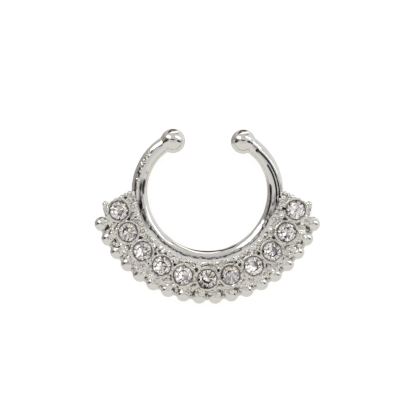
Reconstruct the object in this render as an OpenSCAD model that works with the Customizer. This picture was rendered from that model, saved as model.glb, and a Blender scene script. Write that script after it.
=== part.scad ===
// Clip-on septum ring: an open hoop with ball ends and a jewelled crescent.
// It lies on its back, front up, with the gap toward +Y. All sizes in millimetres.

/* [Hoop] */
// Thickness of the round wire
wire_d = 1.27; // [1.1:0.01:1.4]
// Clear inside diameter of the hoop
hoop_inner_d = 10; // [9:0.1:11]
// Centreline radius that each arm bends in with above the crescent
arm_bend_r = 4.6; // [4.3:0.05:5]

/* [Ball ends] */
// Diameter of the balls that rest on each side of the septum
ball_d = 2; // [1.8:0.05:2.4]
// Clear gap between the two balls
ball_gap = 3.8; // [3:0.1:4.6]

/* [Stones] */
// Number of stones in the row
stone_count = 11; // [7:2:11]
// Diameter of a stone over its girdle
stone_d = 1.7; // [1.5:0.05:1.8]
// Diameter of the flat table, over its corners
table_d = 1; // [0.8:0.05:1.2]
// Number of crown facets, and of pavilion facets
facet_count = 8; // [8:2:12]
// Height of the crown above the girdle
crown_h = 0.3; // [0.2:0.01:0.4]
// Height of the girdle at its thinnest
girdle_h = 0.08; // [0.05:0.01:0.15]
// Depth of the pointed back below the girdle
pavilion_h = 0.72; // [0.6:0.01:0.8]
// Clearance between a stone and its seat
stone_clearance = 0.04; // [0.03:0.01:0.08]
// How far the tables stand above the bezel rims
table_rise = 0.08; // [0:0.01:0.15]

/* [Bezels] */
// Wall of a bezel cup at its rim
bezel_wall = 0.14; // [0.1:0.01:0.2]
// Height of the bezel rims above the plate
bezel_h = 0.55; // [0.4:0.01:0.7]
// How far the bezels' feet are sunk into the plate
bezel_root = 0.1; // [0.05:0.01:0.2]
// Width and height of the step round the outside of each rim, and of the bevel round its inside
rim_step = 0.04; // [0.02:0.005:0.045]
// How far neighbouring bezels run into each other
bezel_merge = 0.07; // [0.04:0.01:0.12]
// How far the lowest bezel overlaps the side of the hoop, seen from the front
bezel_bite = 0.02; // [0:0.01:0.05]
// How far the centre of the stone row lies above the hoop's centre
stone_row_lift = 0.33; // [0.1:0.01:0.6]

/* [Crescent plate] */
// Thickness of the plate that carries the bezels
plate_t = 1.35; // [1.25:0.01:1.45]
// How far the plate's edge lies outside the lowest bezel
plate_margin = 0.03; // [0.02:0.01:0.1]
// Distance from the end stones' centres to the crescent's end edges
end_margin = 0.94; // [0.85:0.01:1]
// Lean of the end edges away from the end stones' radial lines, in degrees
end_tilt = 12; // [6:1:16]

/* [Bead border] */
// Number of beads round the outside
bead_count = 18; // [12:1:19]
// Diameter of a border bead
bead_d = 1.2; // [1:0.05:1.3]
// Clear gap between neighbouring beads
bead_gap = 0.13; // [0.05:0.01:0.2]
// Height of the bead centres above the back
bead_z = 0.85; // [0.7:0.01:1]
// Distance from the lowest bezel's outside to the bead centres there
border_offset = 0.5; // [0.4:0.01:0.6]
// How far the centre of the bead row lies above the stone row's centre
border_lift = 0.22; // [0.05:0.01:0.3]
// Thickness of the web between the beads
web_t = 0.72; // [0.55:0.01:0.8]
// How far the web reaches past the bead centres
web_reach = 0.3; // [0.15:0.01:0.4]
// How far the web reaches past the end beads' centres along the row
web_end = 0.2; // [0.1:0.01:0.3]
// Thickness of the neck behind each bead
neck_d = 0.56; // [0.4:0.02:0.7]
// Length of a neck past the back of its bead
neck_length = 0.16; // [0.1:0.01:0.25]
// Height of the necks' axes above the back
neck_z = 1.12; // [1:0.01:1.2]

/* [Grains] */
// Diameter of the grains along the hoop's flank
grain_d = 0.3; // [0.24:0.01:0.36]
// Spacing of the grains, centre to centre
grain_pitch = 0.36; // [0.34:0.01:0.5]
// Clear gap between the grains and the side of the lowest bezel, seen from the front
grain_clearance = 0.04; // [0.02:0.01:0.06]
// Diameter of the single grain between the hoop and each pair of bezels
gap_grain_d = 0.34; // [0.26:0.01:0.4]
// Diameter of the ball outside each pair of bezels
gap_ball_d = 0.48; // [0.36:0.01:0.56]
// Distance of those balls' centres outward from the stone row, as a share of a bezel's radius
gap_ball_share = 0.77; // [0.7:0.01:0.8]
// Diameter of the pit inside each pair of bezels
pit_d = 0.22; // [0.16:0.01:0.28]
// Distance of the pits' centres inward from the stone row, as a share of a bezel's radius
pit_share = 0.59; // [0.55:0.01:0.62]
// Depth of the pits below the plate's face
pit_depth = 0.5; // [0.3:0.01:0.8]
// Diameter of the small bead on each corner of the crescent
corner_bead_d = 0.52; // [0.4:0.01:0.6]
// Distance of those beads outward along the end edges from the end stones' centres
corner_out = 0.76; // [0.6:0.01:0.8]
// Number of grains along each end edge
end_grain_count = 3; // [2:1:3]
// Distance of the first of them inward along the end edge from the end stone's centre
end_grain_in = 0.73; // [0.65:0.01:0.8]
// Land between each pit and the grain inside it
pit_land = 0.03; // [0.02:0.01:0.06]

/* [Hidden] */
$fn = 48;
PLATE_FN = 96;
GRAIN_FN = 24;

metal = "silver";
crystal = "aliceblue";
overrun = 1;
plane_reach = 30;

wire_r = wire_d / 2;
hoop_r = hoop_inner_d / 2 + wire_r;
mid_z = ball_d / 2;

// Each arm is an arc that leaves the hoop level with its centre and ends in a ball
arm_x = hoop_r - arm_bend_r;
ball_x = (ball_gap + ball_d) / 2;
ball_angle = acos((ball_x - arm_x) / arm_bend_r);
ball_y = arm_bend_r * sin(ball_angle);

// The stone row, from the hoop outward
stone_r = stone_d / 2;
cup_r = stone_r + stone_clearance;
bezel_r = cup_r + bezel_wall;
bezel_pitch = 2 * bezel_r - bezel_merge;
lowest_bezel = hoop_r + wire_r - bezel_bite + 2 * bezel_r;
stone_row_r = lowest_bezel - bezel_r + stone_row_lift;
stone_step = 2 * asin(bezel_pitch / 2 / stone_row_r);
gap_ball_r = stone_row_r + bezel_r * gap_ball_share;
pit_r = stone_row_r - bezel_r * pit_share;
gap_grain_r = pit_r - (pit_d + gap_grain_d) / 2 - pit_land;

// The bead row, outside the stone row
bead_r = bead_d / 2;
border_y = stone_row_lift + border_lift;
bead_row_r = lowest_bezel + border_offset + border_y;
bead_step = 2 * asin((bead_d + bead_gap) / 2 / bead_row_r);
plate_r = lowest_bezel + plate_margin + border_y;
web_end_angle = asin(web_end / bead_row_r);

// Heights
rim_z = plate_t + bezel_h;
bezel_root_z = plate_t - bezel_root;
table_z = rim_z + table_rise;
half_facet = 180 / facet_count;
table_edge_r = table_d / 2 * cos(half_facet);
crown_slope = crown_h / (stone_r - table_edge_r);
pavilion_slope = pavilion_h / stone_r;
girdle_low_z = table_z - crown_h - girdle_h;
culet_z = girdle_low_z - pavilion_h;
seat_z = culet_z + pavilion_h * cos(half_facet);
seat_floor_z = culet_z - stone_clearance;
seat_floor_r = 2 * stone_clearance;

function row_angle(i, count, step) = 270 + (i - (count - 1) / 2) * step;
function polar(r, a, z = 0) = [r * cos(a), r * sin(a), z];
function stone_angle(i) = row_angle(i, stone_count, stone_step);
function bead_angle(i) = row_angle(i, bead_count, bead_step);

// The model's middle, so that its origin is below the centre of its own box
lowest_bead = min([for (i = [0:bead_count - 1]) bead_row_r * sin(bead_angle(i))]);
y_low = border_y + lowest_bead - bead_r;
y_high = ball_y + ball_d / 2;
hoop_y = -(y_low + y_high) / 2;

// Places its children on the stone row: whole numbers are stones, halves are the gaps between them
module on_stone_row(i, r = stone_row_r, z = 0) {
    translate([0, stone_row_lift, 0])
        rotate(stone_angle(i))
            translate([r, 0, z])
                children();
}

// Places its children on the bead row
module on_bead_row(i, r = bead_row_r, z = 0) {
    translate([0, border_y, 0])
        rotate(bead_angle(i))
            translate([r, 0, z])
                children();
}

module both_sides() {
    children();
    mirror([1, 0, 0]) children();
}

module wire_section(r) {
    translate([r, 0]) circle(d = wire_d);
}

// The wire's lower half circle and its two bent-in arms
module hoop() {
    translate([0, 0, mid_z]) {
        rotate(180) rotate_extrude(angle = 180) wire_section(hoop_r);
        both_sides()
            translate([arm_x, 0, 0])
                rotate_extrude(angle = ball_angle) wire_section(arm_bend_r);
    }
}

// Each ball is turned so that its start meridian faces the gap, clear of the arm
module ball_ends() {
    both_sides()
        translate([ball_x, ball_y, mid_z]) rotate(180) sphere(d = ball_d);
}

// Half plane beyond the crescent's end edge at the first stone
module end_half_plane() {
    on_stone_row(0)
        rotate(end_tilt)
            translate([-plane_reach, -end_margin - plane_reach])
                square([2 * plane_reach, plane_reach]);
}

// Flat-backed crescent between the hoop's centreline and the bead row
module crescent_plate() {
    linear_extrude(plate_t)
        difference() {
            translate([0, border_y]) circle(plate_r, $fn = PLATE_FN);
            circle(hoop_r, $fn = PLATE_FN);
            both_sides() end_half_plane();
        }
}

module bezels() {
    for (i = [0:stone_count - 1])
        on_stone_row(i, z = bezel_root_z) {
            cylinder(h = rim_z - rim_step - bezel_root_z, r = bezel_r);
            cylinder(h = rim_z - bezel_root_z, r = bezel_r - rim_step);
        }
}

// Girdle bore and cone that follow a stone's outline, one clearance away from it, over a small flat floor
module stone_seats() {
    for (i = [0:stone_count - 1])
        on_stone_row(i)
            rotate_extrude()
                polygon([
                    [0, seat_floor_z], [seat_floor_r, seat_floor_z], [cup_r, seat_z],
                    [cup_r, rim_z - rim_step], [cup_r + rim_step + overrun, rim_z + overrun],
                    [0, rim_z + overrun]
                ]);
}

// Low web that joins the beads, from the plate out past their centres
module bead_web() {
    translate([0, border_y, 0])
        rotate(bead_angle(0) - web_end_angle)
            rotate_extrude(angle = (bead_count - 1) * bead_step + 2 * web_end_angle, $fn = PLATE_FN)
                translate([plate_r - bead_r, 0])
                    square([bead_row_r + web_reach - plate_r + bead_r, web_t]);
}

module beads() {
    for (i = [0:bead_count - 1])
        on_bead_row(i, z = bead_z) sphere(d = bead_d);
}

module bead_necks() {
    for (i = [0:bead_count - 1])
        on_bead_row(i, r = bead_row_r - bead_r - neck_length, z = neck_z)
            rotate([0, 90, 0]) cylinder(h = neck_length + bead_r / 2, d = neck_d);
}

// Row of grains set along the outer flank of the hoop, just inside the lowest bezel
module flank_grains() {
    row_r = lowest_bezel - 2 * bezel_r - grain_clearance - grain_d / 2;
    row_z = mid_z + sqrt(wire_r * wire_r - (row_r - hoop_r) * (row_r - hoop_r));
    step = 2 * asin(grain_pitch / 2 / row_r);
    count = floor(180 / step);
    for (i = [0:count - 1])
        translate(polar(row_r, row_angle(i, count, step), row_z)) sphere(d = grain_d, $fn = GRAIN_FN);
}

// One grain inside and one ball outside each pair of neighbouring bezels
module gap_grains() {
    for (i = [0:stone_count - 2]) {
        on_stone_row(i + 0.5, gap_grain_r, plate_t) sphere(d = gap_grain_d, $fn = GRAIN_FN);
        on_stone_row(i + 0.5, gap_ball_r, plate_t) sphere(d = gap_ball_d, $fn = GRAIN_FN);
    }
}

module pits() {
    for (i = [0:stone_count - 2])
        on_stone_row(i + 0.5, pit_r, plate_t - pit_depth) cylinder(h = overrun, d = pit_d, $fn = GRAIN_FN);
}

// Small bead on each outer corner, and grains along each end edge
module corners() {
    both_sides()
        on_stone_row(0)
            rotate(end_tilt) {
                translate([corner_out, -end_margin, plate_t]) sphere(d = corner_bead_d, $fn = GRAIN_FN);
                for (k = [0:end_grain_count - 1])
                    translate([-end_grain_in - k * grain_pitch, -end_margin + grain_d / 2, plate_t])
                        sphere(d = grain_d, $fn = GRAIN_FN);
            }
}

module cast_frame() {
    color(metal)
        translate([0, hoop_y, 0])
            difference() {
                union() {
                    hoop();
                    ball_ends();
                    crescent_plate();
                    bezels();
                    bead_web();
                    bead_necks();
                    beads();
                    flank_grains();
                    gap_grains();
                    corners();
                }
                stone_seats();
                pits();
            }
}

// Crown and pavilion planes meet the girdle in scallops, lowest at each facet's middle
module cut_stone() {
    n = facet_count;
    around = 2 * n;
    reach = [for (k = [0:around - 1]) k % 2 == 0 ? stone_r * cos(half_facet) : stone_r];
    table = [for (i = [0:n - 1]) polar(table_d / 2, 2 * i * half_facet, table_z)];
    upper = [for (k = [0:around - 1])
        polar(stone_r, k * half_facet, table_z - (reach[k] - table_edge_r) * crown_slope)];
    lower = [for (k = [0:around - 1])
        polar(stone_r, k * half_facet, culet_z + reach[k] * pavilion_slope)];
    upper_at = n;
    lower_at = n + around;
    culet_at = n + 2 * around;
    polyhedron(
        points = concat(table, upper, lower, [[0, 0, culet_z]]),
        faces = concat(
            [[for (i = [n - 1:-1:0]) i]],
            [for (i = [0:n - 1]) [
                i, (i + 1) % n, upper_at + (2 * i + 2) % around,
                upper_at + 2 * i + 1, upper_at + 2 * i
            ]],
            [for (k = [0:around - 1]) [
                upper_at + k, upper_at + (k + 1) % around,
                lower_at + (k + 1) % around, lower_at + k
            ]],
            [for (i = [0:n - 1]) [
                culet_at, lower_at + 2 * i, lower_at + 2 * i + 1, lower_at + (2 * i + 2) % around
            ]]
        )
    );
}

module stone(i) {
    color(crystal)
        translate([0, hoop_y, 0])
            on_stone_row(i) cut_stone();
}

cast_frame();
for (i = [1:stone_count])
    stone(i - 1);
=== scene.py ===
"""Clip-on septum ring: a plated casting set with eleven crystals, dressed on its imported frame."""

import logging
import math
from collections.abc import Callable
from dataclasses import dataclass
from enum import Enum
from itertools import product

import bmesh
import bpy
import numpy as np
import openvdb
from mathutils import Matrix, Vector

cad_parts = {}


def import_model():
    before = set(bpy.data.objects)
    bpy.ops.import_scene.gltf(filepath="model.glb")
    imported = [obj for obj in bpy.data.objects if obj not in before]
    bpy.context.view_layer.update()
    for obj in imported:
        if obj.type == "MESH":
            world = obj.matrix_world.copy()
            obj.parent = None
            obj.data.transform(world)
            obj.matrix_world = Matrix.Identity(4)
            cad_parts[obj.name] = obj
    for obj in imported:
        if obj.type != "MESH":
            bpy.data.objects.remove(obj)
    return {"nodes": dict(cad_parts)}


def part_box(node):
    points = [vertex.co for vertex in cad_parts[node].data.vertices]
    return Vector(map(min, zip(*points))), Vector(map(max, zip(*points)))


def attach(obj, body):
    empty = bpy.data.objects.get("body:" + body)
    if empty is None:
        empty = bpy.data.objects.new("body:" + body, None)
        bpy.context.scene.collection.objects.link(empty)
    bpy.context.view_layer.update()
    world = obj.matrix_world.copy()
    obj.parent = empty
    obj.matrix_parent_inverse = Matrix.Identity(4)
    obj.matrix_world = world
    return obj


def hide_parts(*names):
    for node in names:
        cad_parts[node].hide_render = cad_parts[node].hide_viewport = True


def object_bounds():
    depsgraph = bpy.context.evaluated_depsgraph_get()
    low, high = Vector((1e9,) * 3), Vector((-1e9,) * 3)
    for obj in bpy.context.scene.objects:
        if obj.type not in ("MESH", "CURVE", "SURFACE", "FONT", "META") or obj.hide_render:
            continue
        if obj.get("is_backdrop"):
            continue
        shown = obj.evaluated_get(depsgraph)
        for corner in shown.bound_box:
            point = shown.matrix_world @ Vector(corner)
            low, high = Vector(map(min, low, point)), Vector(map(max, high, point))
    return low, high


LOG = logging.getLogger("septum_ring")
MM = 0.001
BODY = "root"
PHOTO_WIDTH = 416
DOWN = math.radians(270)
TINY = 1e-9

Triple = tuple[float, float, float]
Pair = tuple[float, float]
Shape = Callable[[np.ndarray, np.ndarray, np.ndarray], np.ndarray]
Share = Callable[[np.ndarray], np.ndarray]


class Join(Enum):
    """How a form meets what is already in the distance field."""

    WELD = "weld"
    CUT = "cut"


class Side(Enum):
    """Half of the ring, as the front is seen, by the sign of its X."""

    LEFT = -1
    RIGHT = 1


class Fact(Enum):
    """What each point of a mesh tells its finish, as a share from 0 to 1."""

    OPENNESS = "openness"
    CAST = "cast"
    WALL = "wall"
    # painted shade in the seat gap round each stone
    SEAT_SHADE = "lip"
    # painted dark reflections on the wire and painted shade in its lines and pits
    DARK = "dark"
    EDGE = "edge"


def soft_min(a: np.ndarray, b: np.ndarray, fillet: float) -> np.ndarray:
    """Joins two distances with a fillet.

    Args:
        a: First distance.
        b: Second distance.
        fillet: Width over which the two blend.

    Returns:
        The distance to the joined form.
    """
    share = np.clip(0.5 + 0.5 * (b - a) / fillet, 0, 1)
    return b + (a - b) * share - fillet * share * (1 - share)


def soft_max(a: np.ndarray, b: np.ndarray, fillet: float) -> np.ndarray:
    """Distance to what two forms share, with the edge between them rounded."""
    return -soft_min(-a, -b, fillet)


def smooth_step(value: np.ndarray, start: float, end: float) -> np.ndarray:
    """Rises smoothly from 0 at start to 1 at end."""
    share = np.clip((value - start) / (end - start), 0, 1)
    return share * share * (3 - 2 * share)


def trilinear(values: np.ndarray, place: np.ndarray) -> np.ndarray:
    """Reads a grid between its points.

    Args:
        values: Numbers on a regular grid.
        place: Points to read at, counted in cells from the grid's first point.

    Returns:
        One number for each point.
    """
    top = np.array(values.shape) - 2
    base = np.clip(np.floor(place).astype(int), 0, top)
    share = np.clip(place - base, 0, 1).astype(np.float32)
    total = np.zeros(len(place), np.float32)
    for corner in product((0, 1), repeat=3):
        weight = np.ones(len(place), np.float32)
        for axis, far in enumerate(corner):
            weight *= share[:, axis] if far else 1 - share[:, axis]
        at = base + np.array(corner)
        total += weight * values[at[:, 0], at[:, 1], at[:, 2]]
    return total


def everywhere(points: np.ndarray) -> np.ndarray:
    """A full share at every point."""
    return np.ones(len(points), np.float32)


def polar(radius: float, turn: float, lift: float = 0.0) -> Pair:
    """Place at an angle on a circle whose centre is lifted."""
    return radius * math.cos(turn), radius * math.sin(turn) + lift


def turn_between(pitch: float, radius: float) -> float:
    """Angle in radians between neighbours that stand a pitch apart on an arc."""
    return 2 * math.asin(pitch / 2 / radius)


def turn_of(place: float, count: int, step: float) -> float:
    """Angle of a place in a row even about the lowest point, where halves are gaps."""
    return DOWN + (place - (count - 1) / 2) * step


@dataclass(frozen=True)
class Relief:
    """Smooth random relief of one grain size, in millimetres."""

    size: float
    depth: float
    seed: int
    border: int = 1

    def at(self, points: np.ndarray) -> np.ndarray:
        """Height of the relief at each point.

        Args:
            points: Places to read, one row each, whose box the relief fills.

        Returns:
            Heights round zero, with depth as their spread.
        """
        low, high = points.min(0), points.max(0)
        counts = np.ceil((high - low) / self.size).astype(int) + 1 + 2 * self.border
        lattice = np.random.default_rng(self.seed).standard_normal(counts).astype(np.float32)
        place = (points - low) / self.size + self.border
        eased = np.floor(place) + smooth_step(place - np.floor(place), 0, 1)
        return self.depth * trilinear(lattice, eased)


@dataclass
class DistanceField:
    """Distance to the casting's surface on a regular grid, in millimetres from the hoop's centre."""

    low: Triple
    high: Triple
    cell: float
    margin: float = 0.4
    far: float = 9.0
    band_cells: float = 3.0
    looks: Triple = (0.3, 0.6, 1.0)

    def __post_init__(self) -> None:
        """Lays out the grid, empty."""
        self.axes = [np.arange(a, b, self.cell, dtype=np.float32) for a, b in zip(self.low, self.high)]
        self.distance = np.full([len(axis) for axis in self.axes], self.far, np.float32)

    def join(self, shape: Shape, low: Triple, high: Triple, fillet: float, how: Join = Join.WELD) -> None:
        """Adds or cuts one form.

        Args:
            shape: Gives the form's distance from coordinates.
            low: Lowest corner of the form's box.
            high: Highest corner of the form's box.
            fillet: Width of the blend with what is there.
            how: Whether the form is added or cut away.
        """
        window = tuple(
            slice(*np.searchsorted(axis, (a - self.margin, b + self.margin)))
            for axis, a, b in zip(self.axes, low, high)
        )
        x, y, z = np.ix_(*(axis[part] for axis, part in zip(self.axes, window)))
        form = np.broadcast_to(shape(x, y, z), self.distance[window].shape)
        there = self.distance[window]
        if how is Join.WELD:
            self.distance[window] = soft_min(form, there, fillet)
        else:
            self.distance[window] = soft_max(-form, there, fillet)

    def near(self) -> tuple[tuple[np.ndarray, ...], np.ndarray]:
        """Finds the grid's places near the surface.

        Returns:
            Their numbers along each axis, and the places themselves, one row each.
        """
        numbers = np.nonzero(np.abs(self.distance) < self.band_cells * self.cell)
        return numbers, np.stack([axis[at] for axis, at in zip(self.axes, numbers)], 1)

    def lower(self, depth: float, share: Share) -> None:
        """Sinks the surface by a depth, as far as share says."""
        numbers, points = self.near()
        self.distance[numbers] += depth * share(points)

    def roughen(self, relief: Relief, share: Share, run: Share | None = None) -> None:
        """Adds relief near the surface.

        Args:
            relief: The random relief.
            share: Gives how much of it each point takes, from 0 to 1.
            run: Turns points into the coordinates that the relief follows, or None for plain ones.
        """
        numbers, points = self.near()
        followed = points if run is None else run(points)
        height = relief.at(followed)
        self.distance[numbers] -= height * share(points)

    def read(self, points: np.ndarray) -> np.ndarray:
        """Distance at any points."""
        return trilinear(self.distance, (points - np.array(self.low)) / self.cell)

    def normals(self, points: np.ndarray) -> np.ndarray:
        """Directions straight out of the surface.

        Args:
            points: Places on the surface.

        Returns:
            A unit normal for each.
        """
        steps = np.eye(3) * self.cell
        slope = np.stack([self.read(points + step) - self.read(points - step) for step in steps], 1)
        return slope / np.maximum(np.linalg.norm(slope, axis=1, keepdims=True), TINY)

    def levelness(self, points: np.ndarray) -> np.ndarray:
        """How level the surface lies: 1 where it faces straight up or down, 0 on an upright wall."""
        step = np.array((0.0, 0.0, self.cell))
        return np.abs(self.read(points + step) - self.read(points - step)) / (2 * self.cell)

    def openness(self, points: np.ndarray, normals: np.ndarray, reach: float) -> np.ndarray:
        """How open the surface is.

        Args:
            points: Places on the surface.
            normals: Outward normals there.
            reach: How far out to look.

        Returns:
            1 where nothing stands in front within reach, down to 0 in a cleft.
        """
        clear = np.zeros(len(points), np.float32)
        for look in self.looks:
            height = reach * look
            clear += np.clip(self.read(points + normals * height) / height, 0, 1) / len(self.looks)
        return clear

    def surface(self) -> tuple[np.ndarray, np.ndarray]:
        """Meshes the surface.

        Returns:
            Its corners, and the four corner numbers of each face.
        """
        band = self.band_cells * self.cell
        grid = openvdb.FloatGrid(background=band)
        grid.copyFromArray(np.clip(self.distance, -band, band))
        points, quads = grid.convertToQuads(isovalue=0.0)
        return points * self.cell + np.array(self.low, np.float32), quads


def mesh_from_arrays(name: str, points: np.ndarray, quads: np.ndarray) -> bpy.types.Mesh:
    """Makes a mesh of four-sided faces.

    Args:
        name: The mesh's name.
        points: Corners, one row each.
        quads: Four corner numbers for each face.

    Returns:
        The new mesh.
    """
    mesh = bpy.data.meshes.new(name)
    mesh.vertices.add(len(points))
    mesh.vertices.foreach_set("co", points.astype(np.float32).ravel())
    mesh.loops.add(quads.size)
    mesh.loops.foreach_set("vertex_index", quads.astype(np.int32).ravel())
    mesh.polygons.add(len(quads))
    mesh.polygons.foreach_set("loop_start", np.arange(0, quads.size, quads.shape[1], dtype=np.int32))
    mesh.update(calc_edges=True)
    mesh.validate()
    return mesh


def corners(mesh: bpy.types.Mesh) -> np.ndarray:
    """Reads a mesh's corners.

    Args:
        mesh: The mesh.

    Returns:
        Its corners, one row each.
    """
    flat = np.zeros(len(mesh.vertices) * 3, np.float32)
    mesh.vertices.foreach_get("co", flat)
    return flat.reshape(-1, 3)


def link(name: str, mesh: bpy.types.Mesh) -> bpy.types.Object:
    """Puts a mesh into the scene.

    Args:
        name: The new object's name.
        mesh: The mesh.

    Returns:
        The object that holds it.
    """
    piece = bpy.data.objects.new(name, mesh)
    bpy.context.scene.collection.objects.link(piece)
    return piece


def tell(mesh: bpy.types.Mesh, fact: Fact, shares: np.ndarray) -> None:
    """Stores one share for each point of a mesh."""
    stored = mesh.attributes.new(fact.value, "FLOAT", "POINT")
    stored.data.foreach_set("value", shares.astype(np.float32))


def triangles_in(mesh: bpy.types.Mesh) -> int:
    """Number of triangles that the mesh's faces make."""
    return sum(len(face.vertices) - 2 for face in mesh.polygons)


def thinned(piece: bpy.types.Object, triangles: int) -> bpy.types.Mesh:
    """Decimates a piece's mesh.

    Args:
        piece: Object that holds the dense mesh.
        triangles: Most triangles that the result may have.

    Returns:
        The thinned mesh, which is also set on the piece.
    """
    dense = piece.data
    share = triangles / triangles_in(dense)
    if share < 1:
        modifier = piece.modifiers.new("thin", "DECIMATE")
        modifier.ratio = share
        graph = bpy.context.evaluated_depsgraph_get()
        piece.data = bpy.data.meshes.new_from_object(piece.evaluated_get(graph))
        piece.modifiers.clear()
        bpy.data.meshes.remove(dense)
    return piece.data


@dataclass
class NodeBoard:
    """Short way to lay shader nodes."""

    tree: bpy.types.NodeTree

    def put(self, kind: str, *inputs: object, **settings: object) -> bpy.types.Node:
        """Adds a node.

        Args:
            kind: The node's type without its prefix.
            inputs: A number, colour or socket for each input in order, or None to leave it.
            settings: The node's own properties.

        Returns:
            The new node.
        """
        node = self.tree.nodes.new("ShaderNode" + kind)
        for name, value in settings.items():
            setattr(node, name, value)
        for socket, value in zip(node.inputs, inputs):
            self.feed(socket, value)
        return node

    def feed(self, socket: bpy.types.NodeSocket, value: object) -> None:
        """Sets an input.

        Args:
            socket: The input.
            value: Its number, its opaque colour, the socket to join to it, or None to leave it.
        """
        if isinstance(value, bpy.types.NodeSocket):
            self.tree.links.new(value, socket)
        elif value is not None:
            socket.default_value = (*value, 1.0) if socket.type == "RGBA" else value

    def fill(self, node: bpy.types.Node, inputs: dict[str, object]) -> None:
        """Sets a node's inputs by their names."""
        for name, value in inputs.items():
            self.feed(node.inputs[name], value)

    def ramp(
        self, value: bpy.types.NodeSocket, span: Pair, levels: Pair = (0.0, 1.0)
    ) -> bpy.types.NodeSocket:
        """A smooth step.

        Args:
            value: What the step follows.
            span: The values where it starts and ends.
            levels: What it gives at the two.

        Returns:
            The stepped value.
        """
        return self.put("MapRange", value, *span, *levels, interpolation_type="SMOOTHSTEP").outputs[0]

    def fact(self, fact: Fact) -> bpy.types.NodeSocket:
        """What the mesh's points tell, as a socket."""
        return self.put("Attribute", attribute_name=fact.value).outputs["Fac"]

    def blend(self, share: object, first: object, second: object) -> bpy.types.NodeSocket:
        """A mix of two colours, as a socket."""
        return self.put("MixRGB", share, first, second).outputs[0]

    def number(self, operation: str, *inputs: object) -> bpy.types.NodeSocket:
        """A step of arithmetic on numbers, as a socket."""
        return self.put("Math", *inputs, operation=operation).outputs[0]

    def vector(self, operation: str, *inputs: object) -> bpy.types.NodeSocket:
        """A step of arithmetic on vectors, as a socket."""
        return self.put("VectorMath", *inputs, operation=operation).outputs[0]

    def length(self, vector: bpy.types.NodeSocket) -> bpy.types.NodeSocket:
        """A vector's length, as a socket."""
        return self.put("VectorMath", vector, operation="LENGTH").outputs["Value"]


def grey(level: float) -> Triple:
    """An even colour of one level."""
    return (level, level, level)


def bare_finish(name: str) -> tuple[bpy.types.Material, NodeBoard, bpy.types.Node]:
    """Makes a material with its plain shader.

    Args:
        name: The material's name.

    Returns:
        The material, the board for its nodes and its shader.
    """
    material = bpy.data.materials.new(name)
    material.use_nodes = True
    board = NodeBoard(material.node_tree)
    return material, board, board.tree.nodes["Principled BSDF"]


@dataclass(frozen=True)
class PlatedMetal:
    """Bright plating over a cast surface, with painted shade, tinted brown, in its clefts."""

    name: str = "plated_metal"
    polished: Triple = (0.81, 0.795, 0.76)
    # painted shade, tinted brown, laid where the openness share finds a cleft
    cleft_shade_colour: Triple = (0.45, 0.395, 0.31)
    # painted shade of the seat gap round each stone
    seat_shade_colour: Triple = (0.13, 0.085, 0.045)
    # painted dark reflections and painted shade of grooves, notch and pits
    dark_colour: Triple = (0.03, 0.024, 0.021)
    roughness: float = 0.06
    dull_roughness: float = 0.15
    wall_roughness: float = 0.3
    open_span: Pair = (0.0, 0.5)
    grain_scale: float = 6500.0
    grain_detail: float = 2.0
    grain_blend: float = 0.6
    grain_height: float = 0.00004
    grain: float = 0.5

    def colour(self, board: NodeBoard) -> bpy.types.NodeSocket:
        """Polish, with painted shade in clefts and in the seat gap round each stone, and painted dark
        reflections and shade along the dark lines.

        Args:
            board: Where the nodes go.

        Returns:
            The colour socket.
        """
        # painted shade: clefts take the brown shade colour by how closed in they are
        polish = board.ramp(board.fact(Fact.OPENNESS), self.open_span)
        colour = board.blend(polish, self.cleft_shade_colour, self.polished)
        # painted shade round each stone, on the bezel's lip
        colour = board.blend(board.fact(Fact.SEAT_SHADE), colour, self.seat_shade_colour)
        # painted dark reflections and painted shade along the dark lines and in the pits
        return board.blend(board.fact(Fact.DARK), colour, self.dark_colour)

    def dullness(self, board: NodeBoard, cast: bpy.types.NodeSocket) -> bpy.types.NodeSocket:
        """Roughness, low on polish, more on cast metal and most on walls.

        Args:
            board: Where the nodes go.
            cast: How rough the casting is.

        Returns:
            The roughness socket.
        """
        dull = board.ramp(cast, (0.0, 1.0), (self.roughness, self.dull_roughness))
        satin = board.ramp(board.fact(Fact.WALL), (0.0, 1.0), (0.0, self.wall_roughness))
        return board.number("ADD", dull, satin)

    def build(self) -> bpy.types.Material:
        """Makes the material.

        Returns:
            The plating.
        """
        material, board, shader = bare_finish(self.name)
        cast = board.fact(Fact.CAST)
        place = board.put("TexCoord").outputs["Object"]
        noise = board.put("TexNoise", place, None, self.grain_scale, self.grain_detail, self.grain_blend)
        strength = board.ramp(cast, (0.0, 1.0), (0.0, self.grain))
        bump = board.put("Bump", strength, self.grain_height, None, noise.outputs[0])
        board.fill(shader, {
            "Metallic": 1.0,
            "Base Color": self.colour(board),
            "Roughness": self.dullness(board, cast),
            "Normal": bump.outputs[0],
        })
        return material


@dataclass(frozen=True)
class ClearCrystal:
    """Clear lead glass of a stone's crown."""

    name: str = "crystal"
    colour: Triple = (1.0, 1.0, 1.0)
    ior: float = 1.56
    roughness: float = 0.0

    def build(self) -> bpy.types.Material:
        """Makes the material.

        Returns:
            The glass.
        """
        material, board, shader = bare_finish(self.name)
        board.fill(shader, {
            "Base Color": self.colour,
            "IOR": self.ior,
            "Roughness": self.roughness,
            "Transmission Weight": 1.0,
        })
        return material


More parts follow.
